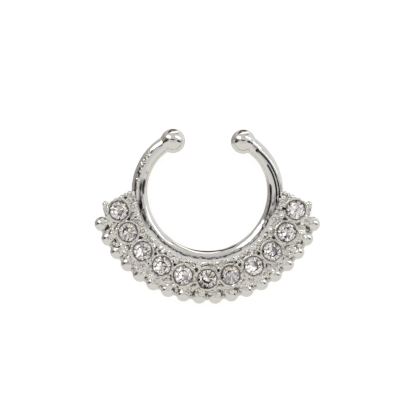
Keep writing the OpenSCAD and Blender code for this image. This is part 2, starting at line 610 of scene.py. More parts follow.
@dataclass(frozen=True)
class MirrorFoil:
    """Silvered back of a stone, tinted brown toward its rim as painted shade of the seat gap."""

    name: str = "foil"
    colour: Triple = (0.9, 0.895, 0.89)
    # painted shade, tinted brown, near the stone's rim
    rim_shade_colour: Triple = (0.5, 0.37, 0.22)
    edge_span: Pair = (0.74, 1.0)
    roughness: float = 0.03

    def build(self) -> bpy.types.Material:
        """Makes the material.

        Returns:
            The foil.
        """
        material, board, shader = bare_finish(self.name)
        # painted shade toward the rim, by distance from the stone's axis
        share = board.ramp(board.fact(Fact.EDGE), self.edge_span)
        colour = board.blend(share, self.colour, self.rim_shade_colour)
        board.fill(shader, {"Base Color": colour, "Metallic": 1.0, "Roughness": self.roughness})
        return material


@dataclass(frozen=True)
class BrightPaper:
    """White paper under the ring, lit so evenly that it hardly takes a shadow."""

    name: str = "paper"
    colour: float = 0.25
    glow: float = 0.85

    def build(self) -> bpy.types.Material:
        """Makes the material.

        Returns:
            The paper.
        """
        material, board, shader = bare_finish(self.name)
        board.fill(shader, {
            "Base Color": grey(self.colour),
            "Roughness": 1.0,
            "Specular IOR Level": 0.0,
            "Emission Color": grey(1.0),
            "Emission Strength": self.glow,
        })
        return material


@dataclass(frozen=True)
class PaintedDarkBand:
    """A painted reflection of a dark band of the room: a streak along the wire, as distance round it and
    outward from its centreline.
    """

    side: Side
    low: float
    high: float
    out_low: float
    out_high: float
    width: float
    strength: float = 1.0
    taper: float = 0.5
    soft: Pair = (0.6, 1.1)

    def share(self, side: np.ndarray, along: np.ndarray, out: np.ndarray) -> np.ndarray:
        """How dark each place is.

        Args:
            side: A number for each place, negative on the left half and positive on the right.
            along: Distance round the wire.
            out: Distance outward from the centreline.

        Returns:
            1 on the streak and 0 off it.
        """
        part = np.clip((along - self.low) / (self.high - self.low), 0, 1)
        ends = smooth_step(along, self.low, self.low + self.taper)
        ends = ends * (1 - smooth_step(along, self.high - self.taper, self.high))
        across = np.abs(out - self.out_low - part * (self.out_high - self.out_low)) / self.width
        here = np.sign(side) == self.side.value
        return self.strength * here * ends * (1 - smooth_step(across, *self.soft))


@dataclass
class Hoop:
    """Round wire with a lower half circle, two bent-in arms and a ball on each."""

    wire_d: float = 1.27
    inner_d: float = 10.0
    arm_bend_r: float = 4.6
    ball_d: float = 2.0
    ball_gap: float = 3.8
    ball_fillet: float = 0.12
    left_shift: Pair = (0.04, -0.06)
    right_shift: Pair = (0.07, -0.12)
    seam_from: float = 143.0
    seam_to: float = 174.0
    seam_taper: float = 4.0
    seam_out: float = 0.25
    seam_width: float = 0.17
    seam_soft: Pair = (0.6, 1.0)
    seam_pits: Pair = (-0.2, 0.8)
    seam: Relief = Relief(0.12, 0.05, 5)
    # random spots of painted shade in the seam's pits
    seam_dark_spots: Relief = Relief(0.14, 1.0, 15)
    streaks: Relief = Relief(0.09, 0.006, 16)
    streak_length: float = 9.0
    streak_span: Pair = (-1.0, 1.5)
    crest_out: float = -0.02
    crest_width: float = 0.06
    crest_end_width: float = 0.06
    crest_end_span: Pair = (-0.6, -0.2)
    crest_top_span: Pair = (0.0, 0.6)
    crest_soft: Pair = (0.7, 1.2)
    crest_level: float = 0.75
    crest_least: float = 0.2
    crest_wander: Relief = Relief(1.3, 0.04, 17)
    crest_nicks: Relief = Relief(0.2, 0.04, 18)
    # patches that vary the painted dark reflections on the crest and along the bands
    crest_patches: Relief = Relief(0.4, 0.4, 19)
    # painted reflections of the room's dark bands along the wire
    dark_bands: tuple[PaintedDarkBand, ...] = (
        PaintedDarkBand(Side.LEFT, -3.0, 1.2, 0.08, -0.13, 0.13),
        PaintedDarkBand(Side.LEFT, -2.2, -0.5, 0.2, 0.1, 0.06),
        PaintedDarkBand(Side.LEFT, -0.9, 0.8, 0.3, 0.37, 0.05),
        PaintedDarkBand(Side.LEFT, -3.4, -0.6, 0.2, 0.2, 0.13, 0.45),
        PaintedDarkBand(Side.RIGHT, -2.2, -0.7, 0.1, 0.24, 0.1),
        PaintedDarkBand(Side.RIGHT, -2.4, 0.3, -0.28, -0.39, 0.06),
        PaintedDarkBand(Side.RIGHT, -1.6, 0.6, 0.36, 0.3, 0.05),
    )
    dark_band_least: float = 0.72
    crest_depth: float = 0.03
    line_low: float = -1.0
    line_out: float = 0.33
    line_drift: float = -0.092
    line_pair: Pair = (0.0, -0.22)
    line_pair_high: Pair = (3.78, 2.3)
    line_r: float = 0.06
    ridge_r: float = 0.13
    ridge_rise: float = 0.03
    notch: Triple = (3.78, -0.03, 0.12)
    arm_lean: float = 0.09
    lean_span: Pair = (0.35, 0.6)
    lean_clear: Pair = (0.1, 0.4)

    @property
    def wire_r(self) -> float:
        """Radius of the wire."""
        return self.wire_d / 2

    @property
    def centre_r(self) -> float:
        """Radius of the lower half's centreline."""
        return self.inner_d / 2 + self.wire_r

    @property
    def mid_z(self) -> float:
        """Height of the wire's centreline."""
        return self.ball_d / 2

    @property
    def arm_x(self) -> float:
        """Distance of each arm's bend centre from the middle."""
        return self.centre_r - self.arm_bend_r

    @property
    def ball_x(self) -> float:
        """Distance of each ball's centre from the middle."""
        return (self.ball_gap + self.ball_d) / 2

    @property
    def ball_y(self) -> float:
        """Height of the balls' centres above the hoop's centre, as the front is seen."""
        return math.sqrt(self.arm_bend_r**2 - (self.ball_x - self.arm_x) ** 2)

    def section(self, x: np.ndarray, y: np.ndarray) -> np.ndarray:
        """Distance outward from the wire's centreline, seen from the front.

        Args:
            x: Places to the right of the hoop's centre.
            y: The same places above it.

        Returns:
            One distance for each place.
        """
        lower = np.hypot(x, y) - self.centre_r
        upper = np.hypot(np.abs(x) - self.arm_x, y) - self.arm_bend_r
        return np.where(y < 0, lower, upper)

    def wire(self, x: np.ndarray, y: np.ndarray, z: np.ndarray) -> np.ndarray:
        """Distance to the wire, which stops inside the balls.

        Args:
            x: Places to the right of the hoop's centre.
            y: The same places above it, as the front is seen.
            z: Their heights over the floor.

        Returns:
            One distance for each place.
        """
        out = self.section(x, y)
        end_angle = math.atan2(self.ball_y, self.ball_x - self.arm_x)
        angle = np.arctan2(y, np.abs(x) - self.arm_x)
        past = (angle > end_angle) & (y > 0)
        to_end = np.hypot(np.abs(x) - self.ball_x, y - self.ball_y)
        return np.hypot(np.where(past, to_end, out), z - self.mid_z) - self.wire_r

    def pour(self, metal: DistanceField) -> None:
        """Adds the hoop to the casting.

        Args:
            metal: The casting so far.
        """
        reach = self.centre_r + self.wire_r
        high_y = self.ball_y + self.ball_d / 2
        metal.join(self.wire, (-reach, -reach, 0), (reach, high_y, self.ball_d), self.ball_fillet)
        for side, shift in ((Side.LEFT, self.left_shift), (Side.RIGHT, self.right_shift)):
            centre = (side.value * self.ball_x + shift[0], self.ball_y + shift[1], self.mid_z)
            metal.join(*ball(centre, self.ball_d / 2), self.ball_fillet)

    def along(self, x: np.ndarray, y: np.ndarray) -> np.ndarray:
        """Distance round the wire from its widest point.

        Args:
            x: Places to the right of the hoop's centre.
            y: The same places above it.

        Returns:
            One distance for each place, positive toward the ball and negative toward the crescent.
        """
        lower = np.arctan2(y, np.abs(x)) * self.centre_r
        upper = np.arctan2(y, np.abs(x) - self.arm_x) * self.arm_bend_r
        return np.where(y < 0, lower, upper)

    def unrolled(self, points: np.ndarray) -> np.ndarray:
        """Straightens the wire, squeezed along its length so that relief on it makes streaks.

        Args:
            points: Places on the casting.

        Returns:
            Distance round the wire, outward and up, one row for each place.
        """
        x, y, z = points.T
        round_it = np.where(x < 0, -1, 1) * (self.along(x, y) + math.pi * self.centre_r / 2)
        return np.stack([round_it / self.streak_length, self.section(x, y), z], 1)

    def seam_share(self, points: np.ndarray) -> np.ndarray:
        """Where the left arm's pitted seam runs.

        Args:
            points: Places on the casting.

        Returns:
            1 on the seam and 0 off it.
        """
        x, y, z = points.T
        turn = np.degrees(np.arctan2(y, x))
        along = smooth_step(turn, self.seam_from, self.seam_from + self.seam_taper)
        along = along * (1 - smooth_step(turn, self.seam_to - self.seam_taper, self.seam_to))
        across = np.abs(self.section(x, y) - self.seam_out) / self.seam_width
        return along * (1 - smooth_step(across, *self.seam_soft)) * (z > self.mid_z)

    def streak_share(self, points: np.ndarray) -> np.ndarray:
        """Where the polishing streaks lie: the lower half's front."""
        x, y, z = points.T
        return smooth_step(-y, *self.streak_span) * (z > self.mid_z) * (self.section(x, y) < self.wire_r)

    def crest_share(self, points: np.ndarray) -> np.ndarray:
        """Where the lower half's nicked edge runs between polished and cast metal, darkened by a painted
        reflection of the room's dark band.

        Args:
            points: Places on the casting.

        Returns:
            1 on the edge and 0 off it.
        """
        x, y, z = points.T
        wander = self.crest_wander.at(points) + self.crest_nicks.at(points)
        near_end = smooth_step(self.along(x, y) / self.centre_r, *self.crest_end_span)
        width = self.crest_width + self.crest_end_width * near_end
        across = np.abs(self.section(x, y) - self.crest_out - wander) / width
        strength = np.clip(self.crest_level + self.crest_patches.at(points), self.crest_least, 1)
        below = smooth_step(-y, *self.crest_top_span)
        return (1 - smooth_step(across, *self.crest_soft)) * strength * below * (z > self.mid_z)

    def arm_line(self, shift: float, radius: float, rise: float, high: float) -> Shape:
        """A thin round line that drifts outward down the front of the right arm.

        Args:
            shift: How far it lies outside the drifting line.
            radius: The line's own radius.
            rise: Height of the line's centre above the wire's surface.
            high: How far up the arm it reaches.

        Returns:
            The line's distance function.
        """

        def shape(x: np.ndarray, y: np.ndarray, z: np.ndarray) -> np.ndarray:
            """Distance to the line, which stops at both ends.

            Args:
                x: Places to the right of the hoop's centre.
                y: The same places above it, as the front is seen.
                z: Their heights over the floor.

            Returns:
                One distance for each place.
            """
            along = self.along(x, y)
            out = self.line_out + self.line_drift * along + shift
            height = self.mid_z + np.sqrt(np.maximum(self.wire_r**2 - out**2, 0)) + rise
            line = np.hypot(self.section(x, y) - out, z - height) - radius
            return np.maximum(line, np.maximum(self.line_low - along, along - high))

        return shape

    def notch_shape(self) -> Shape:
        """The small dark notch where the right arm's lines start, below the ball.

        Returns:
            The notch's distance function.
        """
        place, out, radius = self.notch
        height = self.mid_z + self.wire_r

        def shape(x: np.ndarray, y: np.ndarray, z: np.ndarray) -> np.ndarray:
            """Distance to the notch."""
            side = np.hypot(self.along(x, y) - place, self.section(x, y) - out)
            return np.where(x > 0, np.hypot(side, z - height) - radius, self.ball_d)

        return shape

    def mark(self, metal: DistanceField) -> None:
        """Adds the streaks, the nicked edge, the left arm's seam and the right arm's fine lines.

        Args:
            metal: The casting so far.
        """
        metal.roughen(self.streaks, self.streak_share, self.unrolled)
        metal.roughen(self.seam, self.seam_share)
        metal.lower(self.crest_depth, self.crest_share)
        reach = self.arm_x + self.arm_bend_r + self.wire_r
        low, high = (0, self.line_low, self.mid_z), (reach, self.ball_y, self.ball_d)
        beside, rise = self.line_pair[1] / 2, self.ridge_rise - self.ridge_r
        for shift, end in zip(self.line_pair, self.line_pair_high):
            metal.join(self.arm_line(shift - beside, self.ridge_r, rise, end), low, high, self.line_r)
        for shift, end in zip(self.line_pair, self.line_pair_high):
            metal.join(self.arm_line(shift, self.line_r, 0.0, end), low, high, self.line_r / 2, Join.CUT)
        metal.join(self.notch_shape(), low, high, self.line_r / 2, Join.CUT)

    def painted_darkness(self, points: np.ndarray) -> np.ndarray:
        """How dark the wire is painted: 1 in its lines, its notch and the seam's pits, which take painted
        shade, and up to 1 along its crest and dark bands, which take painted reflections; 0 elsewhere.

        Args:
            points: Places on the casting.

        Returns:
            One share for each place.
        """
        x, y, z = points.T
        # painted reflection of the room's dark band along the crest
        share = self.crest_share(points)
        # painted shade in the right arm's grooves
        for shift, end in zip(self.line_pair, self.line_pair_high):
            line = self.arm_line(shift, self.line_r, 0.0, end)(x, y, z)
            share = np.maximum(share, (x > 0) * (1 - smooth_step(line, 0.0, self.line_r / 2)))
        # painted shade in the notch
        share = np.maximum(share, 1 - smooth_step(self.notch_shape()(x, y, z), 0.0, self.line_r))
        # painted shade at random spots on the seam
        pits = self.seam_dark_spots.at(points)
        share = np.maximum(share, self.seam_share(points) * smooth_step(pits, *self.seam_pits))
        along, out = self.along(x, y), self.section(x, y)
        # painted dark reflections along the wire, broken into patches
        uneven = self.crest_patches.at(points)
        patchy = np.clip(1 + uneven, self.dark_band_least, 1)
        for streak in self.dark_bands:
            share = np.maximum(share, (z > self.mid_z) * patchy * streak.share(x, along, out))
        return share

    def leaned(self, points: np.ndarray, normals: np.ndarray) -> np.ndarray:
        """Normals with the left arm's polish drawn a little toward the crescent.

        Args:
            points: Places on the casting.
            normals: Outward normals there.

        Returns:
            The changed normals, of unit length.
        """
        x, y, z = points.T
        turn = np.arctan2(y, -x - self.arm_x)
        share = (x < 0) * (z > self.mid_z) * smooth_step(turn, *self.lean_span)
        away = np.hypot(x + self.ball_x, y - self.ball_y) - self.ball_d / 2
        share = share * smooth_step(away, *self.lean_clear) * self.arm_lean
        down = np.stack([-np.sin(turn), -np.cos(turn), np.zeros(len(x))], 1)
        changed = normals + share[:, None] * down
        return changed / np.linalg.norm(changed, axis=1, keepdims=True)


@dataclass
class StoneRow:
    """Eleven crystals in a row of bezel cups that run into each other."""

    hoop: Hoop
    count: int = 11
    stone_d: float = 1.7
    table_d: float = 1.0
    facets: int = 8
    crown_h: float = 0.3
    girdle_h: float = 0.08
    pavilion_h: float = 0.72
    clearance: float = 0.04
    table_rise: float = 0.08
    wall: float = 0.14
    merge: float = 0.07
    bite: float = 0.02
    lift: float = 0.33
    plate_t: float = 1.35
    rim_h: float = 0.55
    root: float = 0.1
    rim_round: float = 0.08
    lip_in: float = 0.14
    lip_drop: float = 0.18
    lip_width: float = 0.09
    lip_blend: float = 0.03
    # patches that break up the painted shade round the stones
    seat_shade_patches: Relief = Relief(0.45, 0.25, 20)
    lip_least: float = 0.4
    lip_shift: float = 0.05
    lip_seed: int = 9
    seat_sink: float = 0.1
    fillet: float = 0.07

    @property
    def cup_r(self) -> float:
        """Inner radius of a bezel."""
        return self.stone_d / 2 + self.clearance

    @property
    def bezel_r(self) -> float:
        """Outer radius of a bezel."""
        return self.cup_r + self.wall

    @property
    def lowest(self) -> float:
        """Distance from the hoop's centre to the outside of the lowest bezel."""
        return self.hoop.centre_r + self.hoop.wire_r - self.bite + 2 * self.bezel_r

    @property
    def row_r(self) -> float:
        """Radius of the row."""
        return self.lowest - self.bezel_r + self.lift

    @property
    def step(self) -> float:
        """Angle between neighbours, in radians."""
        return turn_between(2 * self.bezel_r - self.merge, self.row_r)

    @property
    def rim_z(self) -> float:
        """Height of the bezel rims."""
        return self.plate_t + self.rim_h

    def angle(self, place: float) -> float:
        """Angle of a place in the row."""
        return turn_of(place, self.count, self.step)

    def spot(self, place: float, radius: float | None = None) -> Pair:
        """Where a place in the row lies.

        Args:
            place: Number along the row from the left.
            radius: Distance from the row's centre, or None for the row itself.

        Returns:
            The place from the hoop's centre.
        """
        return polar(self.row_r if radius is None else radius, self.angle(place), self.lift)

    def pour(self, metal: DistanceField) -> None:
        """Adds the bezel cups.

        Args:
            metal: The casting so far.
        """
        root_z = self.plate_t - self.root
        mid_z, half_h = (self.rim_z + root_z) / 2, (self.rim_z - root_z) / 2
        for i in range(self.count):
            cx, cy = self.spot(i)

            def cup(x: np.ndarray, y: np.ndarray, z: np.ndarray) -> np.ndarray:
                """Distance to a round-edged cylinder."""
                side = np.hypot(x - cx, y - cy) - self.bezel_r
                return soft_max(side, np.abs(z - mid_z) - half_h, self.rim_round)

            low = (cx - self.bezel_r, cy - self.bezel_r, root_z)
            metal.join(cup, low, (cx + self.bezel_r, cy + self.bezel_r, self.rim_z), self.fillet)

    def mouths(self) -> np.ndarray:
        """Middles of the openings that the burnished lips leave, each a little off its stone's.

        Returns:
            One row for each stone.
        """
        dice = np.random.default_rng(self.lip_seed)
        spots = np.array([self.spot(i) for i in range(self.count)])
        return spots + dice.uniform(-self.lip_shift, self.lip_shift, spots.shape)

    def painted_darkness(self, points: np.ndarray) -> np.ndarray:
        """Painted shade in the seat gap round each stone: how dark the metal is painted there.

        Args:
            points: Places on the casting.

        Returns:
            1 on each bezel's burnished lip, where the painted shade lies, and 0 away from it.
        """
        nearest = np.full(len(points), self.row_r)
        for cx, cy in self.mouths():
            nearest = np.minimum(nearest, np.hypot(points[:, 0] - cx, points[:, 1] - cy))
        edge = self.cup_r - self.lip_in + self.lip_width
        # patches in the painted shade of the seat gap
        uneven = self.seat_shade_patches.at(points)
        patchy = np.clip(1 + uneven, self.lip_least, 1)
        return patchy * (1 - smooth_step(nearest, edge - self.lip_blend, edge + self.lip_blend))

    def cut_seats(self, metal: DistanceField) -> None:
        """Cuts a seat that follows each stone's outline, under a lip burnished over the stone's edge.

        Args:
            metal: The casting so far.
        """
        table_z = self.rim_z + self.table_rise
        girdle_z = table_z - self.crown_h - self.girdle_h - self.seat_sink
        slope = math.atan2(self.pavilion_h, self.stone_d / 2)
        floor_z = girdle_z - self.pavilion_h - self.clearance
        lip_z = table_z - self.lip_drop
        for i, (mx, my) in enumerate(self.mouths()):
            cx, cy = self.spot(i)

            def seat(x: np.ndarray, y: np.ndarray, z: np.ndarray) -> np.ndarray:
                """Distance to a narrow mouth over a bore over a cone.

                Args:
                    x: Places to the right of the hoop's centre.
                    y: The same places above it, as the front is seen.
                    z: Their heights over the floor.

                Returns:
                    One distance for each place.
                """
                out = np.hypot(x - cx, y - cy)
                bore = np.maximum(out - self.cup_r, z - lip_z)
                mouth = np.maximum(np.hypot(x - mx, y - my) - self.cup_r + self.lip_in, girdle_z - z)
                cone = (out - self.cup_r) * math.sin(slope) - (z - girdle_z) * math.cos(slope)
                return np.minimum(mouth, np.maximum(np.maximum(bore, cone), floor_z - z))

            low = (cx - self.cup_r, cy - self.cup_r, floor_z)
            high = (cx + self.cup_r, cy + self.cup_r, self.rim_z + self.clearance)
            metal.join(seat, low, high, self.clearance, Join.CUT)


@dataclass
class Crescent:
    """Flat-backed plate that carries the bezels, between the hoop and the bead border."""

    stones: StoneRow
    margin: float = 0.03
    end_margin: float = 0.94
    end_tilt: float = 12.0
    border_lift: float = 0.22
    edge_round: float = 0.06
    fillet: float = 0.06

    @property
    def centre_y(self) -> float:
        """Height of the plate's outer circle's centre above the hoop's."""
        return self.stones.lift + self.border_lift

    @property
    def outer_r(self) -> float:
        """Radius of the plate's outer edge."""
        return self.stones.lowest + self.margin + self.centre_y

    def past_end(self, x: np.ndarray, y: np.ndarray) -> np.ndarray:
        """Distance past the nearer end edge.

        Args:
            x: Places to the right of the hoop's centre.
            y: The same places above it.

        Returns:
            One distance for each place, negative on the plate.
        """
        cx, cy = self.stones.spot(0)
        turn = self.stones.angle(0) + math.radians(self.end_tilt)
        along = -(-np.abs(x) - cx) * math.sin(turn) + (y - cy) * math.cos(turn)
        return -self.end_margin - along

    def plate(self, x: np.ndarray, y: np.ndarray, z: np.ndarray) -> np.ndarray:
        """Distance to the plate.

        Args:
            x: Places to the right of the hoop's centre.
            y: The same places above it, as the front is seen.
            z: Their heights over the floor.

        Returns:
            One distance for each place.
        """
        outer = np.hypot(x, y - self.centre_y) - self.outer_r
        inner = self.stones.hoop.centre_r - np.hypot(x, y)
        side = np.maximum(np.maximum(outer, inner), self.past_end(x, y))
        slab = np.maximum(z - self.stones.plate_t, -z)
        return soft_max(side, slab, self.edge_round)

    def pour(self, metal: DistanceField) -> None:
        """Adds the plate to the casting."""
        reach = self.outer_r
        metal.join(self.plate, (-reach, -reach, 0), (reach, reach / 2, self.stones.plate_t), self.fillet)


@dataclass
class BeadBorder:
    """Round beads along the outer edge, each on a neck, joined by a low web."""

    plate: Crescent
    count: int = 18
    bead_d: float = 1.2
    gap: float = 0.13
    bead_z: float = 0.85
    offset: float = 0.5
    web_t: float = 0.72
    web_reach: float = 0.3
    web_end: float = 0.2
    neck_d: float = 0.56
    neck_length: float = 0.16
    neck_z: float = 1.12
    fillet: float = 0.06

    @property
    def row_r(self) -> float:
        """Radius of the bead row."""
        return self.plate.stones.lowest + self.offset + self.plate.centre_y

    @property
    def step(self) -> float:
        """Angle between neighbours, in radians."""
        return turn_between(self.bead_d + self.gap, self.row_r)

    def spot(self, place: float, radius: float) -> Pair:
        """A point on the line through a bead, at a distance from the row's centre."""
        return polar(radius, turn_of(place, self.count, self.step), self.plate.centre_y)

    def web(self, x: np.ndarray, y: np.ndarray, z: np.ndarray) -> np.ndarray:
        """Distance to the web.

        Args:
            x: Places to the right of the hoop's centre.
            y: The same places above it, as the front is seen.
            z: Their heights over the floor.

        Returns:
            One distance for each place.
        """
        up = y - self.plate.centre_y
        out = np.hypot(x, up)
        half_turn = (self.count - 1) / 2 * self.step + math.asin(self.web_end / self.row_r)
        turn = np.abs(np.arctan2(x, -up))
        ends = (turn - half_turn) * self.row_r
        inner = self.plate.outer_r - self.bead_d / 2
        side = np.maximum(np.maximum(out - self.row_r - self.web_reach, inner - out), ends)
        return soft_max(side, np.maximum(z - self.web_t, -z), self.fillet)

    def pour(self, metal: DistanceField) -> None:
        """Adds the web, the necks and the beads.

        Args:
            metal: The casting so far.
        """
        bead_r = self.bead_d / 2
        reach = self.row_r + bead_r
        metal.join(self.web, (-reach, -reach, 0), (reach, 0, self.web_t), self.fillet)
        for i in range(self.count):
            cx, cy = self.spot(i, self.row_r)
            nx, ny = self.spot(i, self.row_r - bead_r - self.neck_length)
            metal.join(*rod((nx, ny, self.neck_z), (cx, cy, self.neck_z), self.neck_d / 2), self.fillet)
            metal.join(*ball((cx, cy, self.bead_z), bead_r), self.fillet)


def ball(centre: Triple, radius: float) -> tuple[Shape, Triple, Triple]:
    """A ball's distance with its box.

    Args:
        centre: The ball's centre.
        radius: Its radius.

    Returns:
        The distance function and the box's corners.
    """
    cx, cy, cz = centre

    def shape(x: np.ndarray, y: np.ndarray, z: np.ndarray) -> np.ndarray:
        """Distance to the ball."""
        return np.sqrt((x - cx) ** 2 + (y - cy) ** 2 + (z - cz) ** 2) - radius

    return shape, tuple(c - radius for c in centre), tuple(c + radius for c in centre)


def rod(start: Triple, end: Triple, radius: float) -> tuple[Shape, Triple, Triple]:
    """A round-ended rod's distance with its box.

    Args:
        start: Centre of one end.
        end: Centre of the other end.
        radius: The rod's radius.

    Returns:
        The distance function and the box's corners.
    """
    ax, ay, az = start
    dx, dy, dz = (b - a for a, b in zip(start, end))
    length = dx * dx + dy * dy + dz * dz

    def shape(x: np.ndarray, y: np.ndarray, z: np.ndarray) -> np.ndarray:
        """Distance to the rod.

        Args:
            x: Places to the right of the hoop's centre.
            y: The same places above it, as the front is seen.
            z: Their heights over the floor.

        Returns:
            One distance for each place.
        """
        share = np.clip(((x - ax) * dx + (y - ay) * dy + (z - az) * dz) / length, 0, 1)
        across = (x - ax - share * dx) ** 2 + (y - ay - share * dy) ** 2
        return np.sqrt(across + (z - az - share * dz) ** 2) - radius

    low = tuple(min(a, b) - radius for a, b in zip(start, end))
    return shape, low, tuple(max(a, b) + radius for a, b in zip(start, end))


@dataclass
class GrainWork:
    """Small raised grains along the hoop, between the bezels and on the crescent's ends."""

    plate: Crescent
    beads: BeadBorder
    grain_d: float = 0.3
    pitch: float = 0.36
    clearance: float = 0.04
    gap_grain_d: float = 0.34
    gap_ball_d: float = 0.48
    gap_ball_share: float = 0.77
    pit_share: float = 0.59
    pit_d: float = 0.22
    pit_depth: float = 0.5
    pit_over: float = 1.0
    pit_land: float = 0.03
    # span of the painted shade round each pit
    pit_shade_span: Pair = (0.05, 0.11)
    pit_stretch: float = 1.7
    pit_dark: float = 0.6
    corner_d: float = 0.52
    corner_out: float = 0.76
    end_count: int = 3
    end_in: float = 0.73
    end_shift: float = 0.07
    end_d: float = 0.37
    end_pits: tuple[Pair, ...] = ((-6.79, -0.57), (6.43, -1.5))
    jitter: float = 0.05
    size_spread: float = 0.25
    speck_count: int = 640
    speck_d: Pair = (0.2, 0.4)
    speck_rise: Pair = (-0.02, 0.18)
    recess_count: int = 480
    recess_in: Pair = (0.18, 0.9)
    recess_turn: float = 1.13
    recess_d: Pair = (0.24, 0.42)
    recess_z: Pair = (1.12, 1.4)
    seed: int = 7
    fillet: float = 0.03

    def flank(self, metal: DistanceField, dice: np.random.Generator) -> None:
        """Adds the uneven row along the hoop's outer flank.

        Args:
            metal: The casting so far.
            dice: How far each grain strays, and its size.
        """
        stones = self.plate.stones
        hoop = stones.hoop
        row_r = stones.lowest - 2 * stones.bezel_r - self.clearance - self.grain_d / 2
        row_z = hoop.mid_z + math.sqrt(hoop.wire_r**2 - (row_r - hoop.centre_r) ** 2)
        step = turn_between(self.pitch, row_r)
        count = math.floor(math.pi / step)
        for i in range(count):
            turn = turn_of(i, count, step)
            out = row_r + dice.uniform(-self.jitter, self.jitter)
            turn += dice.uniform(-self.jitter, self.jitter) / row_r
            size = self.grain_d * (1 + dice.uniform(-self.size_spread, self.size_spread))
            metal.join(*ball((*polar(out, turn), row_z), size / 2), self.fillet)

    def between(self, metal: DistanceField) -> None:
        """Adds the grain inside and the ball outside each pair of bezels, and all the pits.

        Args:
            metal: The casting so far.
        """
        stones = self.plate.stones
        ball_r = stones.row_r + stones.bezel_r * self.gap_ball_share
        pit_r = stones.row_r - stones.bezel_r * self.pit_share
        grain_r = pit_r - (self.pit_d + self.gap_grain_d) / 2 - self.pit_land
        top = stones.plate_t
        for i in range(stones.count - 1):
            metal.join(*ball((*stones.spot(i + 0.5, ball_r), top), self.gap_ball_d / 2), self.fillet)
            metal.join(*ball((*stones.spot(i + 0.5, grain_r), top), self.gap_grain_d / 2), self.fillet)
        for px, py in self.pits():
            pit = rod((px, py, top - self.pit_depth), (px, py, top + self.pit_over), self.pit_d / 2)
            metal.join(*pit, self.fillet, Join.CUT)

    def pits(self) -> list[Pair]:
        """Places of the dark pits.

        Returns:
            One inside each pair of bezels and one on each end, from the hoop's centre.
        """
        stones = self.plate.stones
        radius = stones.row_r - stones.bezel_r * self.pit_share
        return [stones.spot(i + 0.5, radius) for i in range(stones.count - 1)] + list(self.end_pits)

    def painted_darkness(self, points: np.ndarray) -> np.ndarray:
        """Painted shade in the pits: how dark they are painted.

        Args:
            points: Places on the casting.

        Returns:
            The darkest share inside them and 0 away from them.
        """
        share = np.zeros(len(points))
        for px, py in self.pits():
            x, y = points[:, 0] - px, points[:, 1] - py
            size = math.hypot(px, py)
            outward, aside = (x * px + y * py) / size, (x * py - y * px) / size
            away = np.hypot(outward, aside / self.pit_stretch)
            # painted shade in each pit
            share = np.maximum(share, self.pit_dark * (1 - smooth_step(away, *self.pit_shade_span)))
        return share

    def end_spot(self, out: float, aside: float) -> Pair:
        """A point in the left end's own axes.

        Args:
            out: Distance outward from its stone.
            aside: Distance toward the next stone.

        Returns:
            The point, from the hoop's centre.
        """
        stones = self.plate.stones
        turn = stones.angle(0) + math.radians(self.plate.end_tilt)
        cx, cy = stones.spot(0)
        x = cx + out * math.cos(turn) - aside * math.sin(turn)
        return x, cy + out * math.sin(turn) + aside * math.cos(turn)

    def corner_beads(self) -> list[Pair]:
        """Places of the beads on the crescent's two corners."""
        x, y = self.end_spot(self.corner_out, -self.plate.end_margin)
        return [(side.value * x, y) for side in Side]

    def ends(self, metal: DistanceField) -> None:
        """Adds the corner beads and the grains along the end edges.

        Args:
            metal: The casting so far.
        """
        top = self.plate.stones.plate_t
        for x, y in self.corner_beads():
            metal.join(*ball((x, y, top), self.corner_d / 2), self.fillet)
        for k in range(self.end_count):
            aside = -self.plate.end_margin + self.grain_d / 2 - self.end_shift
            x, y = self.end_spot(-self.end_in - k * self.pitch, aside)
            for side in Side:
                metal.join(*ball((side.value * x, y, top), self.end_d / 2), self.fillet)

    def specks(self, metal: DistanceField, dice: np.random.Generator) -> None:
        """Strews uneven grains over the plate, clear of the stones.

        Args:
            metal: The casting so far.
            dice: Where each grain lies and how large it is.
        """
        stones = self.plate.stones
        cups = np.array([stones.spot(i) for i in range(stones.count)])
        for _ in range(self.speck_count):
            out = dice.uniform(stones.hoop.centre_r + stones.hoop.wire_r, stones.lowest)
            place = stones.spot(dice.uniform(-0.5, stones.count - 0.5), out)
            size = dice.uniform(*self.speck_d)
            rise = dice.uniform(*self.speck_rise)
            off_plate = self.plate.past_end(*place) > -size
            if off_plate or np.hypot(*(cups - place).T).min() < stones.bezel_r:
                continue
            metal.join(*ball((*place, stones.plate_t + rise), size / 2), self.fillet)

    def recess(self, metal: DistanceField, dice: np.random.Generator) -> None:
        """Fills the recess between the bezels and the beads with uneven grains.

        Args:
            metal: The casting so far.
            dice: Where each grain lies and how large it is.
        """
        for _ in range(self.recess_count):
            out = self.beads.row_r - dice.uniform(*self.recess_in)
            turn = DOWN + dice.uniform(-self.recess_turn, self.recess_turn)
            place = polar(out, turn, self.plate.centre_y)
            size = dice.uniform(*self.recess_d)
            height = dice.uniform(*self.recess_z)
            metal.join(*ball((*place, height), size / 2), self.fillet)

    def pour(self, metal: DistanceField) -> None:
        """Adds all the grains.

        Args:
            metal: The casting so far.
        """
        dice = np.random.default_rng(self.seed)
        self.specks(metal, dice)
        self.flank(metal, dice)
        self.between(metal)
        self.ends(metal)
        self.recess(metal, dice)


